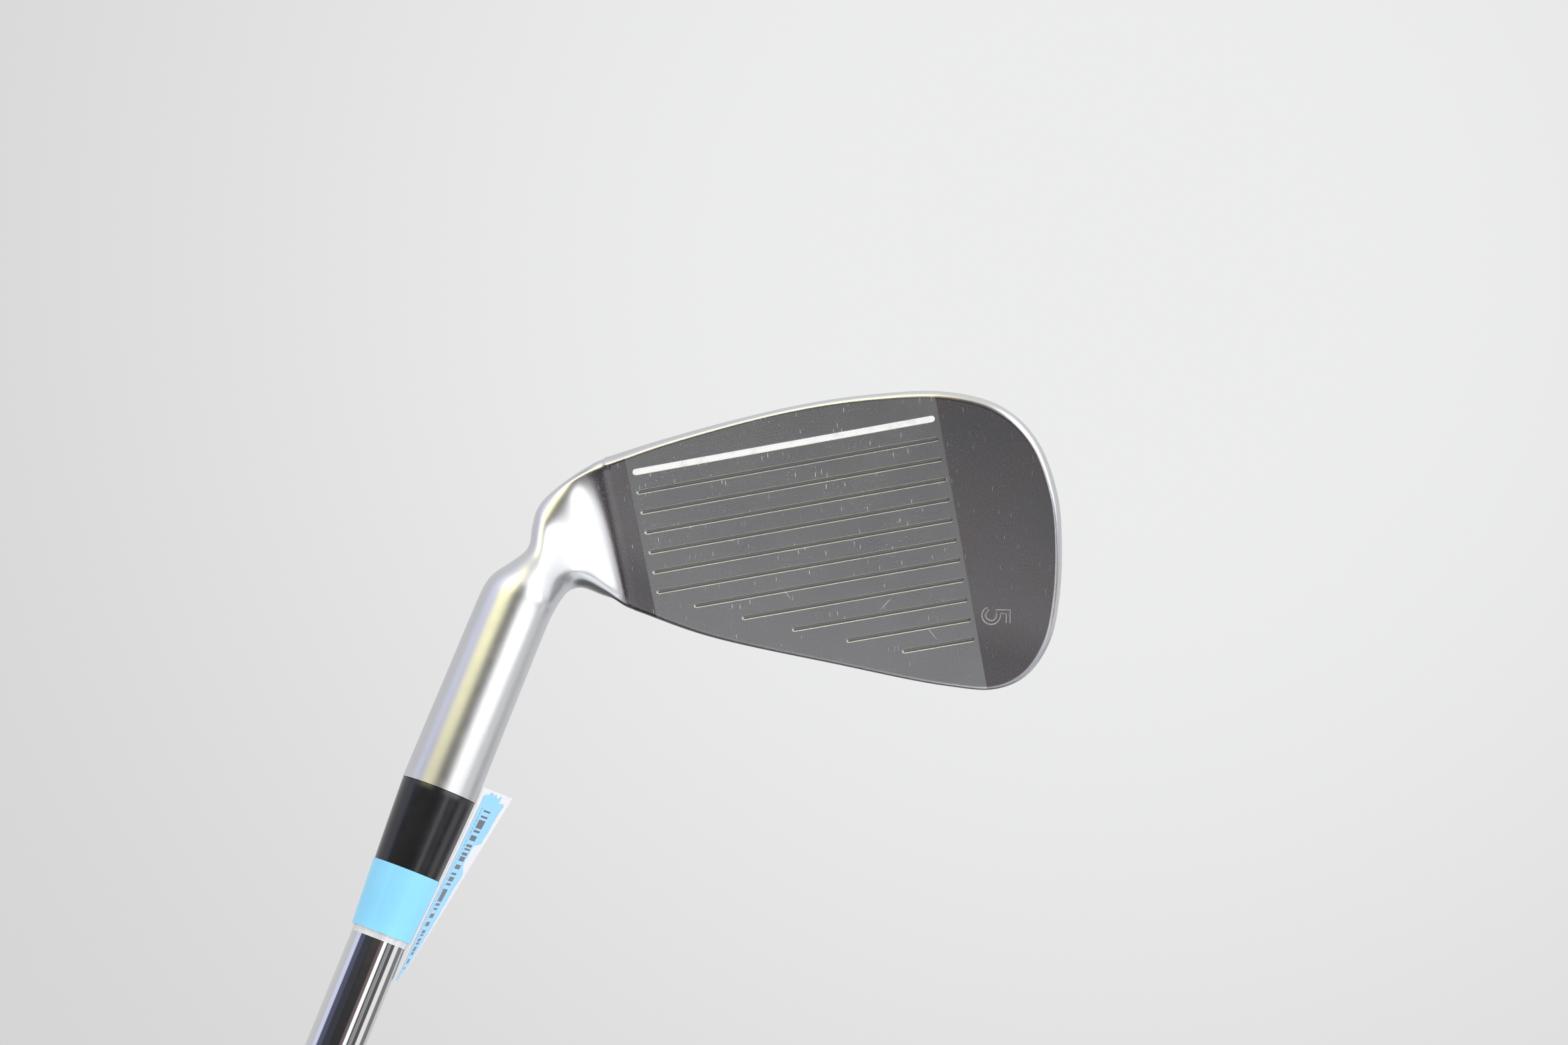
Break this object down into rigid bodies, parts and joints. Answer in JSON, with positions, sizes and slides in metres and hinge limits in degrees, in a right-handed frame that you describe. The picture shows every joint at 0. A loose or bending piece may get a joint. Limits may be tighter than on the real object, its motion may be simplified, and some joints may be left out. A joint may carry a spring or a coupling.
{
  "type": "iron golf club",
  "caption": "Right-handed cavity-back golf iron: grooved steel head, black ferrule, stepped chrome shaft, tapered rubber grip and a stock label by the hosel.",
  "frame": {"origin": "centre of the grip's butt end face, on the shaft axis", "axes": "+Z along the shaft axis from the butt to the head, +X to the toe's side, +Y into the striking face"},
  "size_m": [0.1027, 0.0283, 0.9968],
  "materials": {
    "satin_steel": "satin-chromed cast steel, milled face",
    "white_paint": "matt enamel fill",
    "damping_rubber": "soft matt elastomer",
    "badge_plate": "brushed plate",
    "cured_epoxy": "clear amber",
    "ferrule_plastic": "polished black",
    "chromed_steel": "mirror chrome",
    "weight_brass": "as turned",
    "label_paper": "semi-gloss coated paper",
    "tape_paper": "masking paper",
    "grip_rubber": "matt, textured",
    "decal_foil": "printed foil"
  },
  "bodies": {
    "root": {"head_casting": "satin_steel", "aim_line_paint": "white_paint", "cavity_insert": "damping_rubber", "cavity_badge": "badge_plate", "hosel_epoxy": "cured_epoxy", "ferrule": "ferrule_plastic", "shaft": "chromed_steel", "tip_weight": "weight_brass", "label_band": "label_paper", "label_flag": "label_paper", "grip_tape": "tape_paper", "grip_sleeve": "grip_rubber", "grip_cap": "grip_rubber", "shaft_band": "decal_foil"}
  },
  "joints": []
}
